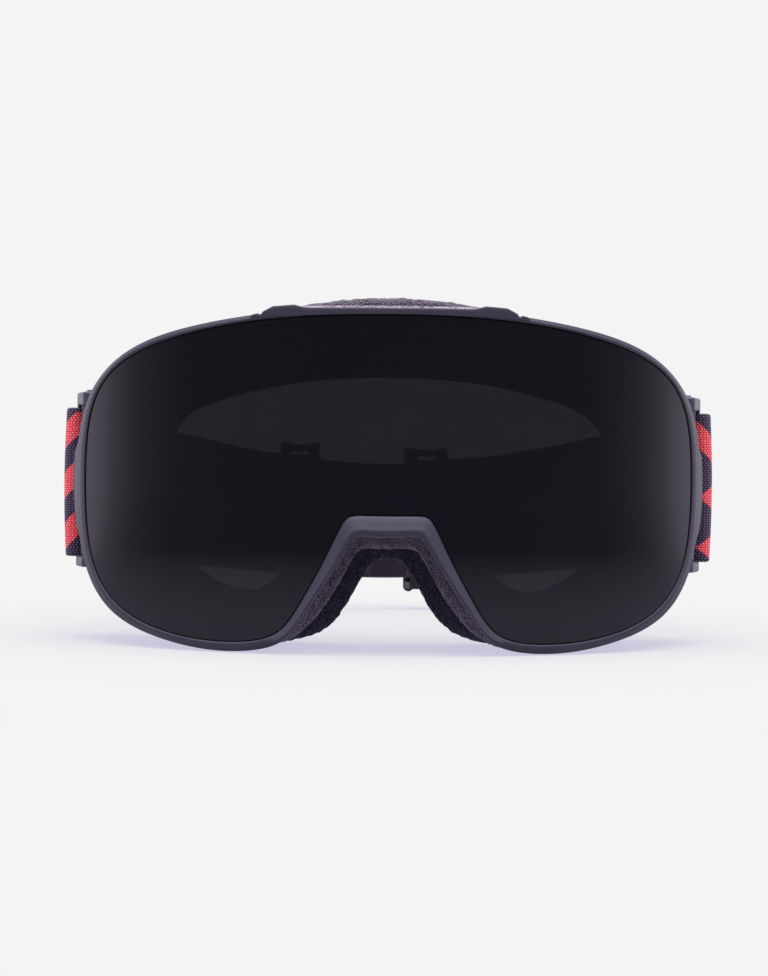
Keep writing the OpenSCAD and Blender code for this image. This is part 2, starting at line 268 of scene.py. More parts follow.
# ---------------------------------------------------------------- materials
class Nodes:
    """Short names for building the nodes of a material, or of a world if one is given."""

    def __init__(self, name, world=None):
        self.material = world or bpy.data.materials.new(name)
        self.material.use_nodes = True
        self.tree = self.material.node_tree
        self.shader = self.tree.nodes.get("Principled BSDF")

    def feed(self, socket, value):
        """Sets a socket to a number, vector or colour, or links it to another node's output."""
        if isinstance(value, (int, float)):
            socket.default_value = value
        elif isinstance(value, tuple):
            socket.default_value = value if len(socket.default_value) == len(value) else (*value, 1)
        else:
            self.tree.links.new(value, socket)

    def node(self, kind, inputs=None, **settings):
        made = self.tree.nodes.new(kind)
        for key, value in settings.items():
            setattr(made, key, value)
        for key, value in (inputs or {}).items():
            self.feed(made.inputs[key], value)
        return made

    def math(self, operation, *values):
        return self.node("ShaderNodeMath", dict(enumerate(values)), operation=operation).outputs[0]

    def vector(self, operation, *values):
        return self.node("ShaderNodeVectorMath", dict(enumerate(values)), operation=operation).outputs

    def coords(self, kind="Object"):
        return self.node("ShaderNodeTexCoord").outputs[kind]

    def split(self, vector):
        return self.node("ShaderNodeSeparateXYZ", {0: vector}).outputs

    def noise(self, scale, detail=3.0, roughness=0.55, coords=None):
        return self.node("ShaderNodeTexNoise", {
            "Scale": scale, "Detail": detail, "Roughness": roughness, "Vector": coords or self.coords(),
        }).outputs["Fac"]

    def voronoi(self, scale):
        inputs = {"Scale": scale, "Vector": self.coords()}
        return self.node("ShaderNodeTexVoronoi", inputs).outputs["Distance"]

    def map_range(self, value, ends, at_ends=(0.0, 1.0), **settings):
        return self.node("ShaderNodeMapRange", {
            "Value": value, "From Min": ends[0], "From Max": ends[1],
            "To Min": at_ends[0], "To Max": at_ends[1],
        }, **settings).outputs["Result"]

    def ramp(self, factor, *stops):
        """Greys between stops, each a position and a brightness."""
        node = self.node("ShaderNodeValToRGB", {"Fac": factor})
        elements = node.color_ramp.elements
        while len(elements) < len(stops):
            elements.new(0.5)
        for element, (position, value) in zip(elements, stops):
            element.position = position
            element.color = (value, value, value, 1)
        return node.outputs["Color"]

    def mix(self, factor, a, b):
        """Two colours mixed. The Mix node's colours are its inputs 6 and 7 and its output 2."""
        return self.node("ShaderNodeMix", {0: factor, 6: a, 7: b}, data_type="RGBA").outputs[2]

    def tinted(self, colour, tint):
        return self.vector("MULTIPLY", colour, tint)["Vector"]

    def bump(self, height, distance):
        return self.node("ShaderNodeBump", {"Height": height, "Distance": distance}).outputs["Normal"]

    def set(self, **values):
        names = {
            "colour": "Base Color", "roughness": "Roughness", "metallic": "Metallic", "alpha": "Alpha",
            "normal": "Normal", "ior": "IOR", "sheen": "Sheen Weight",
            "sheen_roughness": "Sheen Roughness", "specular": "Specular IOR Level",
            "emission": "Emission Color", "emission_strength": "Emission Strength",
        }
        for key, value in values.items():
            self.feed(self.shader.inputs[names[key]], value)
        return self.material


def moulded_plastic(name, dark, light, roughness, grain=0.00002):
    """Fine-grained moulded plastic: mottled colour, speckled gloss and a spark-eroded grain."""
    m = Nodes(name)
    grain_noise = m.noise(2600, 2)
    broad = m.noise(70, 4)
    colour = m.mix(m.ramp(broad, (0.35, 0.0), (0.7, 1.0)), dark, light)
    rough = m.math("MULTIPLY_ADD", m.noise(900, 3), 0.18, roughness - 0.09)
    return m.set(
        colour=colour, roughness=rough, normal=m.bump(grain_noise, grain), specular=0.45,
    )


# the painted highlight line along the front of the top foam, where it meets the cover, in metres
HIGHLIGHT_HEIGHT = 0.00075
HIGHLIGHT_HALF_WIDTH = 0.0245
HIGHLIGHT_DEPTH = 0.0175


def speckled_foam(name, dark, light, cell, depth, sheen, sparkle=0.0, highlight_foot=None):
    """Open-cell foam or brushed facing: pores, lit cell walls and a soft sheen. The last argument is the
    height in metres at which a painted highlight line begins."""
    m = Nodes(name)
    cells = m.voronoi(cell)
    fine = m.noise(cell * 1.2, 4, 0.7)
    patch = m.noise(cell * 0.12, 3)
    tone = m.math("ADD", m.math("MULTIPLY", fine, 0.9), m.math("MULTIPLY", patch, 0.1))
    colour = m.mix(m.ramp(tone, (0.44, 0.0), (0.55, 1.0)), dark, light)
    if sparkle:
        glint = m.ramp(m.noise(cell * 2.6, 1, 0.5), (0.62, 0.0), (0.7, 1.0))
        colour = m.mix(m.math("MULTIPLY", glint, sparkle), colour, (0.34, 0.31, 0.36))
    # painted highlight: a pale ragged line low on the foam's front, standing in for light caught where the
    # foam meets the cover
    if highlight_foot:
        x, y, z = m.split(m.coords())
        above = m.math("SUBTRACT", z, highlight_foot)
        ragged = m.math("ADD", above, m.math("MULTIPLY", fine, 0.0006))
        line = m.math("LESS_THAN", ragged, HIGHLIGHT_HEIGHT)
        middle = m.math("LESS_THAN", m.math("ABSOLUTE", x), HIGHLIGHT_HALF_WIDTH)
        ahead = m.math("LESS_THAN", y, FRONT_Y + HIGHLIGHT_DEPTH)
        line = m.math("MULTIPLY", m.math("MULTIPLY", line, middle), m.math("MULTIPLY", ahead, 0.85))
        # the pale colour of the painted highlight line
        colour = m.mix(line, colour, (0.72, 0.62, 0.70))
    height = m.math("ADD", cells, m.math("MULTIPLY", fine, 0.8))
    return m.set(
        colour=colour, roughness=0.95, normal=m.bump(height, depth), sheen=sheen,
        sheen_roughness=0.45, specular=0.15,
    )


def smoked_lens():
    m = Nodes("smoked_lens")
    haze = m.noise(22, 2)
    colour = m.mix(haze, (0.0032, 0.0023, 0.0050), (0.0044, 0.0033, 0.0066))
    return m.set(colour=colour, roughness=0.03, alpha=0.897, ior=1.5, specular=0.5)


def clear_lens():
    m = Nodes("clear_lens")
    colour = m.mix(m.noise(30, 2), (0.45, 0.45, 0.47), (0.55, 0.55, 0.57))
    return m.set(colour=colour, roughness=0.05, alpha=0.06, ior=1.3)


def webbing(name, side):
    """Knitted elastic: slanted red bands on violet-black, rows of stitches, dark selvedges, soft sheen.
    U runs along the strap from its front turn and V up it, both in metres. The left strap's bands
    slant all the way; the right strap's lower half has teeth that point at the frame."""
    m = Nodes(name)
    uv = m.coords("UV")
    u, v, _ = m.split(uv)
    period, turn, slope, tooth = 0.0144, 0.012, 1.2, 0.82
    first_tooth, last_tooth, red_share = 0.0042, 0.0262, 0.52
    wobble = m.math("MULTIPLY", m.math("SUBTRACT", m.noise(1100, 2, coords=uv), 0.5), 0.0005)
    zig = m.math("SUBTRACT", m.math("PINGPONG", m.math("ADD", u, turn), 2 * turn), turn)
    centre = 0.0091 if side < 0 else 0.0074
    slanted = m.math("SUBTRACT", m.math("ADD", m.math("SUBTRACT", v, m.math("MULTIPLY", zig, slope)), wobble),
                     centre - period / 2)
    band = m.math("FRACT", m.math("DIVIDE", slanted, period))
    red_mask = m.math("LESS_THAN", m.math("ABSOLUTE", m.math("SUBTRACT", band, 0.5)), red_share / 2)
    if side > 0:
        rise = m.math("PINGPONG", m.math("SUBTRACT", v, first_tooth), period / 2)
        reach = m.math("MULTIPLY", m.math("SUBTRACT", 0.0006, u), tooth)
        edge = m.math("ADD", m.math("SUBTRACT", reach, rise), wobble)
        teeth = m.math("FRACT", m.math("DIVIDE", edge, period))
        teeth_mask = m.math("LESS_THAN", teeth, 0.5)
        low = m.math("LESS_THAN", v, last_tooth)
        red_mask = m.math("ADD", m.math("MULTIPLY", teeth_mask, low),
                          m.math("MULTIPLY", red_mask, m.math("SUBTRACT", 1.0, low)))
    inside_edge = m.math("MULTIPLY", m.math("GREATER_THAN", v, 0.0011),
                         m.math("LESS_THAN", v, STRAP_W * MM - 0.0013))
    red_mask = m.math("MULTIPLY", red_mask, inside_edge)
    lit = knit(m, u, v, uv)
    red = m.mix(m.ramp(lit, (0.4, 0.0), (1.0, 1.0)), (0.93, 0.030, 0.042), (1.0, 0.50, 0.50))
    dark = m.mix(m.ramp(lit, (0.3, 0.0), (0.95, 1.0)), (0.018, 0.009, 0.024), (0.20, 0.15, 0.24))
    colour = m.mix(red_mask, dark, red)
    return m.set(
        colour=colour, roughness=0.85, normal=m.bump(lit, 0.00025), sheen=0.3,
        sheen_roughness=0.4, specular=0.2,
    )


STITCH_WIDTH = 0.0014
STITCH_LENGTH = 0.00072


def knit(m, u, v, uv):
    """Rows of small stitches with fuzzy fibres, as a height from 0 to 1."""
    column = m.math("SINE", m.math("MULTIPLY", v, 2 * math.pi / STITCH_WIDTH))
    row = m.math("SINE", m.math("ADD", m.math("MULTIPLY", u, 2 * math.pi / STITCH_LENGTH),
                               m.math("MULTIPLY", column, 1.3)))
    row = m.math("ADD", m.math("MULTIPLY", row, 0.5), 0.5)
    stitch = m.math("MULTIPLY", m.math("ABSOLUTE", column), row)
    fibre = m.noise(5200, 3, 0.7, coords=uv)
    return m.math("ADD", m.math("MULTIPLY", stitch, 0.75), m.math("MULTIPLY", fibre, 0.45))


def webbing_back(name):
    """The strap's plain inner face."""
    m = Nodes(name)
    uv = m.coords("UV")
    u, v, _ = m.split(uv)
    lit = knit(m, u, v, uv)
    colour = m.mix(m.ramp(lit, (0.3, 0.0), (1.0, 1.0)), (0.012, 0.008, 0.016), (0.075, 0.055, 0.09))
    return m.set(colour=colour, roughness=0.9, normal=m.bump(lit, 0.0003), sheen=0.2, specular=0.15)


def steel():
    m = Nodes("pin_steel")
    rough = m.math("MULTIPLY_ADD", m.noise(1500, 2), 0.15, 0.25)
    return m.set(colour=(0.55, 0.55, 0.57), metallic=1.0, roughness=rough)


RIM = moulded_plastic("rim_plastic", (0.030, 0.026, 0.041), (0.038, 0.033, 0.050), 0.44)
BODY = moulded_plastic("frame_plastic", (0.026, 0.023, 0.036), (0.035, 0.030, 0.046), 0.55)
ARM = moulded_plastic("outrigger_plastic", (0.056, 0.048, 0.074), (0.070, 0.061, 0.090), 0.33)
SLIDER = moulded_plastic("slider_plastic", (0.010, 0.009, 0.013), (0.016, 0.014, 0.020), 0.55)
SMOKED = smoked_lens()
CLEAR = clear_lens()
GASKET = speckled_foam("gasket_foam", (0.010, 0.010, 0.012), (0.035, 0.033, 0.038), 2600, 0.0001, 0.1)
LIGHT_FOAM = speckled_foam(
    "light_foam", (0.045, 0.038, 0.052), (0.37, 0.319, 0.386), 2300, 0.0004, 0.5, 0.8)
DARK_FOAM = speckled_foam("dark_foam", (0.004, 0.003, 0.006), (0.085, 0.072, 0.105), 2300, 0.0003, 0.35, 0.5)
FLEECE = speckled_foam("fleece", (0.004, 0.003, 0.006), (0.080, 0.068, 0.100), 2500, 0.0003, 0.45, 0.5)
VENT_FOAM = speckled_foam("vent_foam", (0.020, 0.016, 0.024), (0.22, 0.18, 0.22), 1500, 0.0006, 0.4, 0.6)
# the top foam carries the painted highlight line from 93.2 mm up
TOP_FOAM = speckled_foam(
    "top_foam", (0.020, 0.016, 0.022), (0.18, 0.15, 0.18), 1900, 0.0006, 0.4, 0.6, highlight_foot=0.0932)
STRAP_LEFT = webbing("webbing_left", -1)
STRAP_RIGHT = webbing("webbing_right", 1)
STRAP_INNER = webbing_back("webbing_inner")
PIN = steel()


# ---------------------------------------------------------------- camera, light and floor
CAMERA_LENS = 76.4
CAMERA_X = -0.0012
CAMERA_DISTANCE = 0.546
CAMERA_HEIGHT = 0.0445
CAMERA_ROLL = math.radians(-0.55)


def camera():
    data = bpy.data.cameras.new("camera")
    data.sensor_width = 36.0
    data.lens = CAMERA_LENS
    data.clip_start = 0.01
    data.clip_end = 60.0
    view = bpy.data.objects.new("camera", data)
    view.location = (CAMERA_X, FRONT_Y - CAMERA_DISTANCE, CAMERA_HEIGHT)
    view.rotation_euler = (math.radians(90), CAMERA_ROLL, 0)
    bpy.context.scene.collection.objects.link(view)
    bpy.context.scene.camera = view


# brightness of the room overhead, towards the camera and behind the goggles, and of a patch at the top
KEY_FRONT = 2.3
KEY_BACK = 0.5
KEY_ZENITH = 4.0
ROOM_TINT = (0.95, 0.90, 1.07)
PAPER_WHITE = 0.905
# where those turn into one another: KEY_TURN by the direction's Y, the others by its Z
KEY_TURN = (-0.4, 0.5)
OVERHEAD = (0.22, 0.6)
ZENITH = (0.86, 0.95)
AROUND_TOP = 1.25
# brightness round the horizon by the Y of the direction, from towards the camera to behind the
# goggles, no more than AROUND_TOP
AROUND = [
    (-1.0, 0.15), (-0.42, 0.17), (-0.26, 0.25), (-0.087, 0.36), (0.0, 0.5), (0.1, 0.66), (0.2, 0.92),
    (0.32, 1.05), (1.0, 1.1),
]


def around_stops(top):
    """AROUND as stops of a ramp, with its brightness as a share of top."""
    return [(y / 2 + 0.5, value / top) for y, value in AROUND]


def studio_world():
    """A pale room: bright at the sides, behind and above, dark towards the camera, and plain white
    as the camera sees it."""
    world = bpy.data.worlds.new("studio")
    bpy.context.scene.world = world
    m = Nodes("studio", world)
    m.tree.nodes.clear()
    _, y, z = m.split(m.coords("Generated"))
    around = m.ramp(m.math("MULTIPLY_ADD", y, 0.5, 0.5), *around_stops(AROUND_TOP))
    overhead = m.map_range(z, OVERHEAD, interpolation_type="SMOOTHSTEP")
    key = m.map_range(y, KEY_TURN, (KEY_FRONT, KEY_BACK), interpolation_type="SMOOTHSTEP")
    zenith = m.map_range(z, ZENITH, (0.0, KEY_ZENITH), interpolation_type="SMOOTHSTEP")
    sides = m.math("MULTIPLY", m.math("MULTIPLY", around, AROUND_TOP), m.math("SUBTRACT", 1.0, overhead))
    strength = m.math("ADD", sides, m.math("ADD", m.math("MULTIPLY", key, overhead), zenith))
    room = m.node("ShaderNodeBackground", {"Color": ROOM_TINT, "Strength": strength})
    seen = m.node("ShaderNodeBackground", {"Color": (PAPER_WHITE,) * 3})
    camera_ray = m.node("ShaderNodeLightPath").outputs["Is Camera Ray"]
    mix = m.node("ShaderNodeMixShader", {0: camera_ray, 1: room.outputs[0], 2: seen.outputs[0]})
    m.node("ShaderNodeOutputWorld", {0: mix.outputs[0]})


FLOOR_HALF = 30.0
FLOOR_FADE = (0.25, 1.0)
# the share of the floor's brightness that the goggles don't shade
FLOOR_GLOW = (0.62, 0.60, 0.76)


def room_light():
    """What a level white sheet in the empty room would look like, averaged from the world's own
    brightness."""
    heights, turns = 400, 720
    z, turn = np.meshgrid(np.sqrt((np.arange(heights) + 0.5) / heights),
                          (np.arange(turns) + 0.5) / turns * 2 * math.pi)
    y = np.sin(turn) * np.sqrt(1 - z * z)

    def share(value, ends):
        return smoothstep((value - ends[0]) / (ends[1] - ends[0]))

    around = np.interp(y, *zip(*AROUND))
    overhead = share(z, OVERHEAD)
    key = KEY_FRONT + (KEY_BACK - KEY_FRONT) * share(y, KEY_TURN)
    zenith = KEY_ZENITH * share(z, ZENITH)
    return float(np.mean(around * (1 - overhead) + key * overhead + zenith))


def floor():
    """A sheet that the camera sees as white as the room behind it, and other rays as the room is."""
    half = FLOOR_HALF
    mesh = bpy.data.meshes.new("floor")
    mesh.from_pydata(
        [(-half, -half, 0), (half, -half, 0), (half, half, 0), (-half, half, 0)], [], [(0, 1, 2, 3)])
    ground = bpy.data.objects.new("floor", mesh)
    bpy.context.scene.collection.objects.link(ground)
    m = Nodes("floor_paper")
    spot = m.coords()
    fade = m.map_range(m.vector("LENGTH", spot)["Value"], FLOOR_FADE)
    toward = m.split(m.vector("NORMALIZE", spot)["Vector"])["Y"]
    # painted room light: away from the goggles the floor's colour for rays other than the camera's follows
    # the room's brightness by direction, darker towards the camera, a painted shade that the lens reflects
    far = m.ramp(m.math("MULTIPLY_ADD", toward, 0.5, 0.5), *around_stops(1.0))
    grain = m.mix(m.noise(40, 3), (0.62, 0.61, 0.63), (0.66, 0.65, 0.67))
    paper = m.mix(fade, grain, far)
    seen = m.node("ShaderNodeLightPath").outputs["Is Camera Ray"]
    paper = m.mix(seen, m.tinted(paper, ROOM_TINT), (PAPER_WHITE,) * 3)
    light = room_light()
    lit = tuple((1 - glow) / (light * tint) for glow, tint in zip(FLOOR_GLOW, ROOM_TINT))
    m.set(colour=m.tinted(paper, lit), roughness=1.0, specular=0.0,
          emission=m.tinted(paper, FLOOR_GLOW), emission_strength=1.0)
    ground.data.materials.append(m.material)


def view_transform():
    bpy.context.scene.view_settings.view_transform = "Standard"
    bpy.context.scene.view_settings.look = "None"


camera()
studio_world()
floor()
view_transform()


# ---------------------------------------------------------------- rim and cover
STEPS = 14
OUTER = spline(RIM_HALF, STEPS)
LENS_EDGE = spline(LENS_HALF, STEPS)


def nose_share(curve):
    """1 along the nose arch, fading to 0 on the lobes beside it."""
    x, z = np.abs(curve[:, 0]), curve[:, 1]
    return smoothstep((34 - x) / 8) * smoothstep((60 - z) / 15)


def rim():
    """The rim: a lit inner bead, a darker outer band, sides that flare backwards, and the sloped nose."""
    width = np.linalg.norm(LENS_EDGE - OUTER, axis=1)
    toward = (LENS_EDGE - OUTER) / width[:, None]
    nose = nose_share(OUTER)
    plate = smoothstep((35.5 - np.abs(OUTER[:, 0])) / 1.5) * (OUTER[:, 1] > 80)
    z = OUTER[:, 1]
    flare = smoothstep((np.abs(OUTER[:, 0]) - 82) / 5)
    flare = flare * smoothstep((z - 27) / 6) * smoothstep((60 - z) / 6)

    def ring(share, extra, depth, nose_depth, nose_across, flared=0.0):
        """Section line: a share of the rim's width plus a few tenths, at a depth behind the front."""
        across = share * width + extra
        across = across * (1 - nose) + nose_across * width * nose - flared * flare
        curve = OUTER + toward * np.minimum(across, width + 0.8)[:, None]
        depth = depth * (1 - nose) + nose_depth * nose
        x = curve[:, 0]
        y = RIM_R - np.sqrt((RIM_R - depth) ** 2 - np.minimum(np.abs(x), 90.5) ** 2)
        height = curve[:, 1] - plate * np.maximum(curve[:, 1] - 90.7, 0)
        return place(np.stack([x, y, np.maximum(height, 0)], 1))

    section = [
        (0, 0.6, 5.8, 5.8, 0.05, 1.4), (0, 0.1, 5.5, 5.6, 0.0, 1.9), (0, 0.0, 4.4, 4.4, 0.0, 1.9),
        (0, 0.0, 3.0, 2.0, 0.0, 1.0), (0, 0.03, 1.6, 0.4, 0.0, 0.2), (0, 0.15, 1.1, -0.4, 0.03),
        (0.12, 0.3, 0.8, -0.75, 0.09), (0.34, 0.0, 0.55, -1.15, 0.22), (0.44, 0.0, 0.38, -1.25, 0.30),
        (0.5, 0.0, 0.12, -1.22, 0.33), (0.57, 0.0, 0.02, -1.0, 0.42), (0.8, 0.0, 0.0, -0.5, 0.64),
        (1, -0.35, 0.02, -0.02, 0.90), (1, -0.12, 0.12, 0.2, 0.95), (1, -0.02, 0.3, 0.6, 1.0),
        (1, 0.0, 1.9, 1.9, 1.0), (1, 0.7, 2.0, 2.0, 1.1), (1, 0.75, 5.8, 5.8, 1.1),
    ]
    piece = loft("front_rim_shell", [ring(*line) for line in section], RIM)
    return finished(piece, "goggle_frame", "rim_plastic", "front_rim")


rim()


# half of the cover's upper outline, from its middle to its end
COVER_CREST = [
    (0, 92.1), (21.6, 92.15), (23.0, 92.3), (25.5, 92.95), (31.2, 92.6), (33.6, 91.4), (34.1, 91.1),
    (34.4, 90.3), (34.9, 90.3), (35.2, 90.8), (36.6, 90.5), (37.3, 90.1),
]


def top_cover():
    """The plate over the top vents: two low crests, a notch near each end, a rounded upper edge."""
    xs, zs = zip(*COVER_CREST)
    half_places = list(np.linspace(0, xs[-1], 60)) + list(xs)
    places = sorted({round(side * x, 3) for x in half_places for side in (-1, 1)})
    rings = []
    for x in places:
        high = float(np.interp(abs(x), xs, zs))
        low = 90.3 - (x / 37) ** 2 * 0.9
        soft = min(0.45, (high - low) * 0.3)
        section = [(0.15, low), (-0.1, low + 0.15)]
        section += [(-0.1, low + (high - soft - low - 0.15) * k / 3 + 0.15) for k in (1, 2, 3)]
        section += [(-0.1 + soft * (1 - math.cos(a)), high - soft * (1 - math.sin(a)))
                    for a in (math.pi / 8, math.pi / 4, 3 * math.pi / 8, math.pi / 2)]
        section += [(4, high), (8, high), (11.8, high - 0.1), (12, high - 0.4), (12, low), (6, low)]
        rings.append(place([(x, bulge_y((RIM_R, depth), x), z) for depth, z in section]))
    piece = loft("top_cover_shell", rings, RIM, closed=False, caps=True)
    piece.data.set_sharp_from_angle(angle=math.radians(50))
    return finished(piece, "goggle_frame", "rim_plastic", "top_vent_cover")


top_cover()


# ---------------------------------------------------------------- lenses
def lens(name, edge, front, back, material, step=4.0):
    """A curved sheet: two skins on upright cylinders and the narrow edge between them."""
    x0, z0 = edge.min(0)
    x1, z1 = edge.max(0)
    inner = inset(edge, 1.2)
    grid = [(x, z) for x in np.arange(x0 + 1, x1, step) for z in np.arange(z0 + 1, z1, step)]
    grid = [q for q in grid if inside_outline(q, inner)]
    points = [Vector(q) for q in list(edge) + grid]
    loop = list(range(len(edge)))
    flat, _, faces, _, _, _ = delaunay_2d_cdt(points, [], [loop], 1, 1e-5)
    flat = np.array([tuple(v) for v in flat])
    count = len(flat)
    skins = [on_surface(flat, *front), on_surface(flat, *back)]
    vertices = np.vstack([place(skin) for skin in skins])
    skin_faces = [tuple(f) for f in faces]
    area = sum((flat[f[1]] - flat[f[0]])[0] * (flat[f[2]] - flat[f[0]])[1]
               - (flat[f[1]] - flat[f[0]])[1] * (flat[f[2]] - flat[f[0]])[0] for f in skin_faces)
    if area < 0:
        skin_faces = [f[::-1] for f in skin_faces]
    edge_use = {}
    for f in skin_faces:
        for a, b in zip(f, f[1:] + f[:1]):
            edge_use[(a, b)] = edge_use.get((a, b), 0) + 1
    border = [(a, b) for a, b in edge_use if (b, a) not in edge_use]
    faces = list(skin_faces) + [tuple(i + count for i in f[::-1]) for f in skin_faces]
    faces += [(b, a, a + count, b + count) for a, b in border]
    piece = new_object(name, vertices, faces, material)
    axis = [FRONT_Y + (front[0] + front[1]) * MM, FRONT_Y + (back[0] + back[1]) * MM]
    mesh = piece.data
    loops = []
    for polygon in mesh.polygons:
        for vertex in polygon.vertices:
            if polygon.index < 2 * len(skin_faces):
                rear = polygon.index >= len(skin_faces)
                co = mesh.vertices[vertex].co
                out = Vector((co.x, co.y - axis[rear], 0)).normalized()
                loops.append(-out if rear else out)
            else:
                loops.append(polygon.normal.copy())
    mesh.normals_split_custom_set(loops)
    return piece


def inside_outline(point, outline):
    x, z = point
    a, b = outline, np.roll(outline, -1, 0)
    crosses = (a[:, 1] > z) != (b[:, 1] > z)
    with np.errstate(divide="ignore", invalid="ignore"):
        at = a[:, 0] + (z - a[:, 1]) * (b[:, 0] - a[:, 0]) / (b[:, 1] - a[:, 1])
    return bool(np.count_nonzero(crosses & (x < at)) % 2)


lens_front = (RIM_R - LIP, LIP)
lens_back = (lens_front[0] - OUTER_LENS_T, lens_front[1] + OUTER_LENS_T)
gasket_back = (lens_back[0] - LENS_GAP, lens_back[1] + LENS_GAP)
inner_back = (gasket_back[0] - INNER_LENS_T, gasket_back[1] + INNER_LENS_T)
outer_lens = lens("outer_lens_sheet", inset(LENS_EDGE, 0.3), lens_front, lens_back, SMOKED)
finished(outer_lens, "goggle_frame", "smoked_lens", "outer_lens")
inner_lens = lens("inner_lens_sheet", inset(LENS_EDGE, 0.3), gasket_back, inner_back, CLEAR)
finished(inner_lens, "goggle_frame", "clear_lens", "inner_lens")


# ---------------------------------------------------------------- frame body and foams
def rough_rings(rings, amount, scale, seed):
    """Rings whose points are pushed about by smooth noise, for a soft or cellular surface."""
    out = []
    for r in rings:
        moved = []
        for p in r:
            q = Vector(p) * scale + Vector((seed, seed * 2.3, seed * 4.1))
            push = noise.noise_vector(q) * amount + noise.noise_vector(q * 3.1) * amount * 0.45
            moved.append((p[0] + push.x, p[1] + push.y, max(p[2] + push.z, 0.0001)))
        out.append(np.array(moved))
    return out


FOAM_POINTS = 620


def foam_ring(name, outer_half, inner_half, front, back, material, round_mm, amount, seed, inner_in,
              crown=0.0):
    """A closed foam ring: rounded at its back edges, crowned across, with a lumpy cut surface."""
    outer = resample(spline(outer_half, STEPS), FOAM_POINTS)
    inner = resample(inset(spline(inner_half, STEPS), inner_in), FOAM_POINTS)
    shares = [0.0, 0.06, 0.16, 0.3, 0.5, 0.7, 0.84, 0.94, 1.0]

    def across(share, depth):
        curve = outer + (inner - outer) * share
        return on_surface(curve, FACE_R, depth)

    rings = []
    for share in shares:
        rings.append(across(share, front))
    steps = 4
    for k in range(1, steps):
        rings.append(across(1.0, front + (back - front - round_mm) * k / steps))
    for share in reversed(shares):
        edge = min(share, 1 - share) * 2
        drop = round_mm * (1 - smoothstep(edge / 0.35)) if edge < 0.35 else 0.0
        bulge = crown * math.sin(math.pi * share)
        rings.append(across(share, back - drop + bulge))
    for k in range(steps - 1, 0, -1):
        rings.append(across(0.0, front + (back - front - round_mm) * k / steps))
    rings = [place(r) for r in rings]
    return loft(name, rough_rings(rings, amount * MM, 420, seed), material)


def prism(name, plan_points, low, high, material, width=0.3, segments=2):
    """A plan outline run upwards, with bevelled edges."""
    rings = [place([(x, y, z) for x, y in plan_points]) for z in (low, high)]
    piece = loft(name, rings, material, closed=False, caps=True, smooth=False)
    return apply_modifiers(bevel(piece, width, segments))


def hull_of(circles, steps=40):
    """The plan outline round several circles, each (x, y, radius)."""
    points = [(x + r * math.cos(2 * math.pi * k / steps), y + r * math.sin(2 * math.pi * k / steps))
              for x, y, r in circles for k in range(steps)]
    order = convex_hull_2d([Vector(q) for q in points])
    return [points[i] for i in order]


def joined(pieces):
    """Several closed shapes as one object."""
    bpy.ops.object.select_all(action="DESELECT")
    for piece in pieces:
        piece.select_set(True)
    bpy.context.view_layer.objects.active = pieces[0]
    bpy.ops.object.join()
    return pieces[0]


def subtract(piece, cutter):
    modifier = piece.modifiers.new("cut", "BOOLEAN")
    modifier.operation = "DIFFERENCE"
    modifier.solver = "EXACT"
    modifier.object = cutter
    apply_modifiers(piece)
    piece.data.set_sharp_from_angle(angle=math.radians(38))
    bpy.data.objects.remove(cutter)
    return piece


def frame_shell():
    """The moulded body: an outer wall behind the rim and a flange at the face."""
    count = len(OUTER)
    outer_even = resample(inset(OUTER, WALL_INSET), count)
    inner_even = resample(inset(OUTER, WALL_INSET + WALL), count)
    eye = resample(spline(EYE_HALF, STEPS), count)

    def wall(curve, share, out=0.0):
        x = curve[:, 0]
        start, end = bulge_y(inner_back, x), bulge_y((FACE_R, FRAME_BACK), x)
        moved = inset(curve, -out)
        y = start + (end - start) * share
        return place(np.stack([moved[:, 0], y, np.maximum(moved[:, 1], 0)], 1))

    rings = [
        wall(inner_even, 0.0), wall(outer_even, 0.0),
        wall(outer_even, 0.06, 0.3), wall(outer_even, 0.1, 0.3),
        wall(outer_even, 0.14), wall(outer_even, 0.6),
        wall(outer_even, 0.64, 0.35), wall(outer_even, 0.72, 0.35),
        wall(outer_even, 0.76), wall(outer_even, 0.97), wall(outer_even, 1.0, -0.5),
        place(on_surface(eye, FACE_R, FRAME_BACK - 0.1)),
        place(on_surface(inset(eye, 0.25), FACE_R, FRAME_BACK - 0.6)),
        place(on_surface(inset(eye, 0.25), FACE_R, FRAME_BACK - 1.6)),
        place(on_surface(eye, FACE_R, FLANGE_FRONT)),
        place(on_surface(inner_even, FACE_R, FLANGE_FRONT - 0.2)),
    ]
    piece = loft("frame_shell", rings, BODY)
    windows = []
    for x in range(-28, 29, 14):
        plan_points = [(x - 4.5, 12), (x + 4.5, 12), (x + 4.5, 23), (x - 4.5, 23)]
        windows.append(prism(f"window_{x + 28}", plan_points, 80, 100, BODY, 0.6))
    for side in (-1, 1):
        xs = np.linspace(36, 60, 13) * side
        front, back = ([(x, bulge_y(end, x)) for x in xs] for end in (WINDOW_FRONT, WINDOW_BACK))
        windows.append(prism(f"window_low_{side + 1}", front + back[::-1], -1, 8, BODY, 0.3))
    subtract(piece, joined(windows))
    finished(piece, "goggle_frame", "frame_plastic", "frame_body", "face_flange")
    for side, name in ((-1, "left"), (1, "right")):
        lugs = []
        for low, high in LUG_Z:
            plan_points = hull_of([(side * HINGE[0], HINGE[1], KNUCKLE_R),
                                   (side * 82.4, HINGE[1] + 2.6, 1.2), (side * 83.0, HINGE[1] + 5.4, 1.0)])
            lugs.append(prism(f"{name}_lug_{int(low)}", plan_points, low, high, BODY))
        lug = joined(lugs)
        lug.name = f"{name}_hinge_lugs"
        finished(lug, "goggle_frame", "frame_plastic", "frame_body")


WINDOW_FRONT = (inner_back[0] - 4, inner_back[1] + 4)
WINDOW_BACK = (FACE_R, FLANGE_FRONT - 2)
frame_shell()


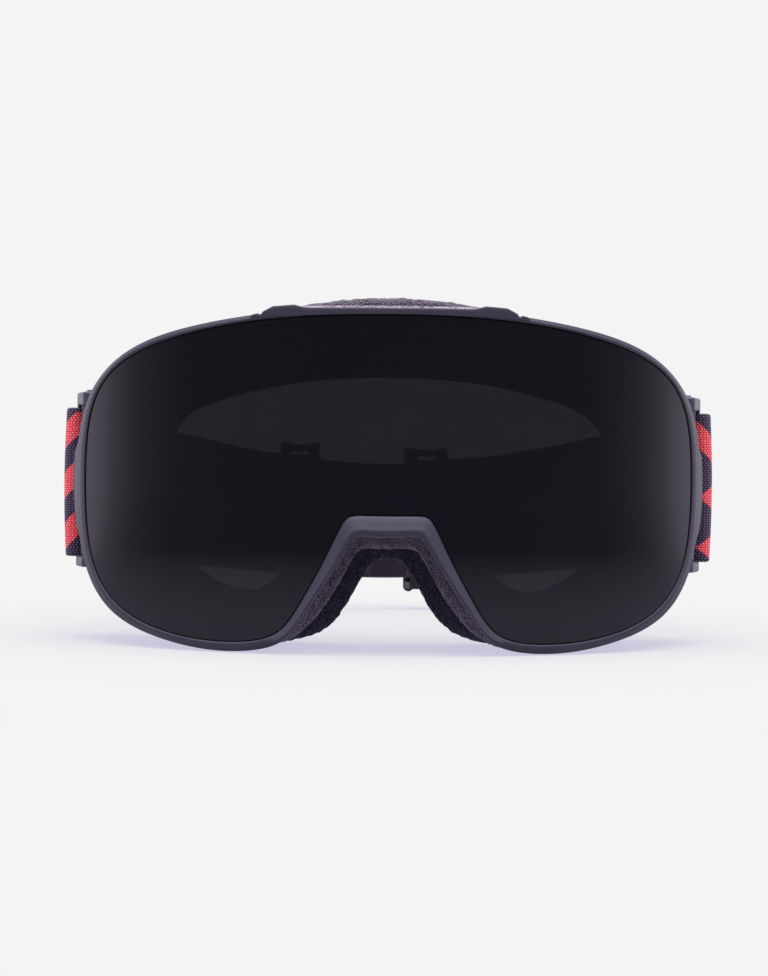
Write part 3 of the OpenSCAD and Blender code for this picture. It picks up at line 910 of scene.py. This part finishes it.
def bottom_vent(side, name):
    """Foam that fills a window in the bottom wall."""
    edge = inset(OUTER, WALL_INSET)
    low = edge[(edge[:, 1] < 40) & (edge[:, 0] > 0)]
    order = np.argsort(low[:, 0])
    low = low[order]
    rings = []
    for x in np.linspace(35.8, 60.2, 50):
        floor_z = max(float(np.interp(x, low[:, 0], low[:, 1])), 0.0)
        front, back = bulge_y(WINDOW_FRONT, x), bulge_y(WINDOW_BACK, x)
        ring = []
        for k in range(24):
            angle = 2 * math.pi * k / 24
            c, d = math.cos(angle), math.sin(angle)
            py = (front + back) / 2 + math.copysign(abs(c) ** 0.4, c) * (back - front) / 2
            pz = floor_z + 1.5 + math.copysign(abs(d) ** 0.4, d) * 1.35
            ring.append((side * x, py, pz))
        rings.append(place(ring))
    rings = rough_rings(rings, 0.12 * MM, 700, 7.0)
    piece = loft(f"{name}_vent_pad", rings, VENT_FOAM, closed=False, caps=True)
    finished(piece, "goggle_frame", "vent_foam", f"{name}_vent_foam")


bottom_vent(-1, "left")
bottom_vent(1, "right")


def outrigger(side, name):
    """The arm from the hinge to the strap bar: two thin plates with thick hinge blocks, and the bar."""
    def across(circles):
        return [(side * x, y, r) for x, y, r in circles]

    knuckle = (*HINGE, KNUCKLE_R)
    plate = hull_of(across([knuckle] + [(*q, BAR_R + 0.1) for q in BAR]))
    block = hull_of(across([knuckle, (*BLOCK_END, BLOCK_END_R)]), 24)
    shapes = []
    for i, ((block_low, block_high), (plate_low, plate_high)) in enumerate(zip(ARM_Z, PLATE_Z)):
        shapes.append(prism(f"{name}_block_{i}", block, block_low, block_high, ARM, 0.7, 3))
        shapes.append(prism(f"{name}_plate_{i}", plate, plate_low, plate_high, ARM, 0.25))
    bar = hull_of(across([(*q, BAR_R) for q in BAR]))
    shapes.append(prism(f"{name}_bar", bar, PLATE_Z[0][0] + 0.4, PLATE_Z[1][1] - 0.4, ARM, 0.1))
    piece = joined(shapes)
    piece.name = f"{name}_outrigger_arm"
    finished(piece, f"{name}_arm", "outrigger_plastic", f"{name}_outrigger")


outrigger(-1, "left")
outrigger(1, "right")


def gasket():
    outer, inner = inset(LENS_EDGE, -0.2), inset(LENS_EDGE, 4.0)
    rings = [
        place(on_surface(inner, *lens_back)), place(on_surface(outer, *lens_back)),
        place(on_surface(outer, *gasket_back)), place(on_surface(inner, *gasket_back)),
    ]
    piece = loft("gasket_strip", rings, GASKET, smooth=False)
    return finished(piece, "goggle_frame", "gasket_foam", "lens_gasket")


gasket()

base_foam = foam_ring("base_foam_ring", BASE_FOAM_HALF, EYE_HALF, FRAME_BACK, BASE_FOAM_BACK,
                      LIGHT_FOAM, 0.6, 0.35, 1.0, -0.5)
finished(base_foam, "goggle_frame", "light_foam", "base_foam")
soft_foam = foam_ring("soft_foam_ring", SOFT_FOAM_HALF, EYE_HALF, BASE_FOAM_BACK, SOFT_FOAM_BACK,
                      DARK_FOAM, 0.8, 0.4, 5.0, -1.5)
finished(soft_foam, "goggle_frame", "dark_foam", "soft_foam")
fleece = foam_ring("fleece_ring", SOFT_FOAM_HALF, EYE_HALF, SOFT_FOAM_BACK - 0.6, FLEECE_BACK, FLEECE,
                   1.8, 0.45, 9.0, -1.5, crown=0.7)
finished(fleece, "goggle_frame", "fleece", "fleece_facing")


def top_foam():
    """The fuzzy strip over the top vents, crowned and tapered at its ends."""
    columns = 170
    section = 18
    rings = []
    for x in np.linspace(-41, 41, columns):
        top = 96.1 - 0.0036 * x * x
        low = 88.6 - 0.0015 * x * x
        front, back = bulge_y((RIM_R - 12.2, 12.4), x), bulge_y((FACE_R, 25.6), x)
        ring = []
        for k in range(section):
            angle = 2 * math.pi * k / section
            c, s = math.cos(angle), math.sin(angle)
            bend = 0.55
            px = math.copysign(abs(c) ** bend, c)
            pz = math.copysign(abs(s) ** bend, s)
            ring.append((x, (front + back) / 2 + px * (back - front) / 2,
                         (top + low) / 2 + pz * (top - low) / 2))
        rings.append(place(ring))
    rings = rough_rings(rings, 0.3 * MM, 500, 3.0)
    piece = loft("top_vent_strip", rings, TOP_FOAM, closed=False, caps=True)
    return finished(piece, "goggle_frame", "vent_foam", "top_vent_foam")


top_foam()


# ---------------------------------------------------------------- strap path
def plan(x):
    return np.array([x, STRAP_BACK - STRAP_BOW * x * x])


def strap_path(side):
    """Half of the strap seen from above, from the middle of the back to the strap bar's side, rounded at
    the ends of the slider's straight stretch. side is -1 for the left and 1 for the right."""
    flat = LEFT_FLAT if side < 0 else RIGHT_FLAT
    inner, outer = (flat[1], flat[0]) if side < 0 else (flat[0], flat[1])
    start = -6.0
    steps = 3 if abs(inner - start) > 8 else 1
    keys = [plan(start + (inner - start) * k / 3) for k in range(steps)]
    keys += [plan(inner), plan(outer)]
    end = side * STRAP_END_X
    keys += [plan(outer + (end - outer) * k / 9) for k in range(1, 10)]
    points = np.array(keys)
    dense = []
    for a, b in zip(points[:-1], points[1:]):
        n = max(2, int(np.linalg.norm(b - a) / 1.0))
        dense += [a + (b - a) * k / n for k in range(n)]
    dense.append(points[-1])
    return softened(np.array(dense), 14)


def softened(line, times):
    """An open line with its corners rounded."""
    for _ in range(times):
        line[1:-1] = (line[:-2] + 2 * line[1:-1] + line[2:]) / 4
    return line


def respaced(line, step):
    """An open line at points a step apart."""
    run = distances(line)
    even = np.arange(0, run[-1], step)
    return np.stack([np.interp(even, run, line[:, k]) for k in (0, 1)], 1)


def sideways(line):
    """Unit vectors square to a plan line, to its left."""
    along = np.gradient(line, axis=0)
    along /= np.linalg.norm(along, axis=1)[:, None]
    return np.stack([-along[:, 1], along[:, 0]], 1)


def path_sides(path):
    """Unit vectors pointing away from the head, for a path that runs outwards from the middle."""
    turn = sideways(path)
    return turn * np.sign(np.sum(turn * (path - np.array([0, 100.0])), 1))[:, None]


def sag(y):
    return STRAP_Z - STRAP_DROOP * (max(y, STRAP_END_Y) - STRAP_END_Y) / (STRAP_BACK - STRAP_END_Y)


# near the front turn the strap cups across its width and its lower edge drops
STRAP_CUP = 0.65
STRAP_SPREAD = 0.9
SPREAD_FROM, SPREAD_OVER = 66.0, 45.0


def ribbon(name, centre, thickness, material, u_start, patterned, printed_until):
    """A flat strap along a plan curve, with rounded selvedges. patterned is the sign of the printed
    face, and the print ends at the ring printed_until."""
    width, edge = STRAP_W, 0.75
    across = sideways(centre)
    run = u_start + distances(centre)
    half = thickness / 2
    section = []
    heights = np.linspace(edge, width - edge, 22)
    for z in heights:
        section.append((half, z))
    for k in range(1, 6):
        a = math.pi / 2 - math.pi * k / 6
        section.append((half * math.sin(a), width - edge + edge * math.cos(a)))
    for z in heights[::-1]:
        section.append((-half, z))
    for k in range(1, 6):
        a = -math.pi / 2 + math.pi * k / 6
        section.append((half * math.sin(a), edge - edge * math.cos(a)))
    rings, uvs = [], []
    for i, p in enumerate(centre):
        base = sag(p[1])
        ring = []
        near = 1 - smoothstep((p[1] - SPREAD_FROM) / SPREAD_OVER)
        for offset, z in section:
            selvedge = 0.12 * (math.exp(-z / 1.2) + math.exp(-(width - z) / 1.2))
            o = offset * (1 + selvedge)
            cup = math.copysign(STRAP_CUP * near * (2 * z / width - 1) ** 2, p[0])
            low = STRAP_SPREAD * near * (1 - z / width)
            ring.append((p[0] + across[i, 0] * o - cup, p[1] + across[i, 1] * o, base + z - low))
            uvs.append((run[i] * MM, z * MM))
        rings.append(place(ring))
    piece = loft(name, rings, material, closed=False, caps=True, uvs=uvs)
    piece.data.materials.append(STRAP_INNER)
    first = len(heights) + 5 if patterned > 0 else 0
    plain = set(range(first, first + len(heights)))
    count = len(section)
    for polygon in piece.data.polygons:
        past = min(polygon.vertices) // count >= printed_until
        columns = {v % count for v in polygon.vertices}
        if past or len(polygon.vertices) == 4 and columns <= plain:
            polygon.material_index = 1
    return piece


# distances between the strap's rings, and how many rings after the front turn its print and its
# outer piece end
STRAP_STEP = 0.8
TAIL_STEP = 0.5
TAIL_T = 1.3
PRINT_POINTS = 12
INNER_POINTS = 58


def strap_half(side):
    """The strap from the middle of its back round the outrigger's bar, then the inner layer as far as the
    slider, round the slider's middle bar and back to where its end is sewn down."""
    name, arm = ("left", "left_arm") if side < 0 else ("right", "right_arm")
    material = STRAP_LEFT if side < 0 else STRAP_RIGHT
    path = strap_path(side)
    away = path_sides(path)
    keep = path[:, 1] > STRAP_END_Y + 2
    centre = np.array([side * LOOP_FRONT[0], LOOP_FRONT[1]])
    radius = LOOP_R - STRAP_T / 2
    turn = []
    for k in range(25):
        angle = math.radians(8 - 196 * k / 24)
        turn.append(centre + radius * np.array([side * math.cos(angle), math.sin(angle)]))
    line = np.array(list((path + away * LAYER)[keep]) + turn + list((path - away * LAYER)[keep][::-1]))
    line = softened(respaced(line, STRAP_STEP), 6)
    front = int(np.argmin(line[:, 1]))
    cut = front + INNER_POINTS
    # on the left the path's own across direction points at the head
    printed = side
    piece = ribbon(f"strap_{name}_half", line[:cut], STRAP_T, material, -front * STRAP_STEP, printed,
                   front + PRINT_POINTS)
    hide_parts("strap_band", f"{name}_strap_loop")
    tuple(place([side * 91.0, 72.0, 40.0]))
    tuple(place([side * 80.0, 116.0, 40.0]))
    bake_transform(piece)

    flat = LEFT_FLAT if side < 0 else RIGHT_FLAT
    slider_x = LEFT_SLIDER_X if side < 0 else RIGHT_SLIDER_X
    a, b = plan(flat[0]), plan(flat[1])
    along = (b - a) / np.linalg.norm(b - a) * side
    out = np.array([-along[1], along[0]]) * side
    middle = a + (b - a) * (slider_x - flat[0]) / (flat[1] - flat[0])
    tail = line[cut - 1:]
    tail = tail[(tail - middle) @ along > 13.0]
    loop = [(9.0, -1.05), (6.0, -1.35), (3.5, -1.95), (1.6, -2.35), (0, -2.45)]
    loop += [(-1.7 * math.sin(math.radians(t)), CENTRE_BAR + 1.7 * math.cos(math.radians(t)))
             for t in range(30, 180, 30)]
    loop += [(0, -5.85), (2.0, -5.6), (4.2, -4.7), (6.4, -3.6), (8.6, -2.95), (11, -2.75),
             (14, -2.72), (18, -2.72)]
    tail = np.array(list(tail) + [middle + along * x + out * y for x, y in loop])
    tail = softened(respaced(tail, TAIL_STEP), 2)
    tail_piece = ribbon(f"strap_{name}_tail", tail, TAIL_T, material, (cut - front) * STRAP_STEP,
                        printed, 0)
    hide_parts(f"{name}_strap_tail", f"{name}_slider_loop")
    near, far = middle + along * 20, middle + along * 60
    tuple(place([*near, 35.0]))
    tuple(place([*far, 35.0]))
    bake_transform(tail_piece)


strap_half(-1)
strap_half(1)

CAD_FINISHES = {
    "left_slider": SLIDER, "right_slider": SLIDER, "left_hinge_pins": PIN, "right_hinge_pins": PIN,
}
for cad_name, finish in CAD_FINISHES.items():
    cad_piece = bpy.data.objects[cad_name]
    cad_piece.data.materials.clear()
    cad_piece.data.materials.append(finish)
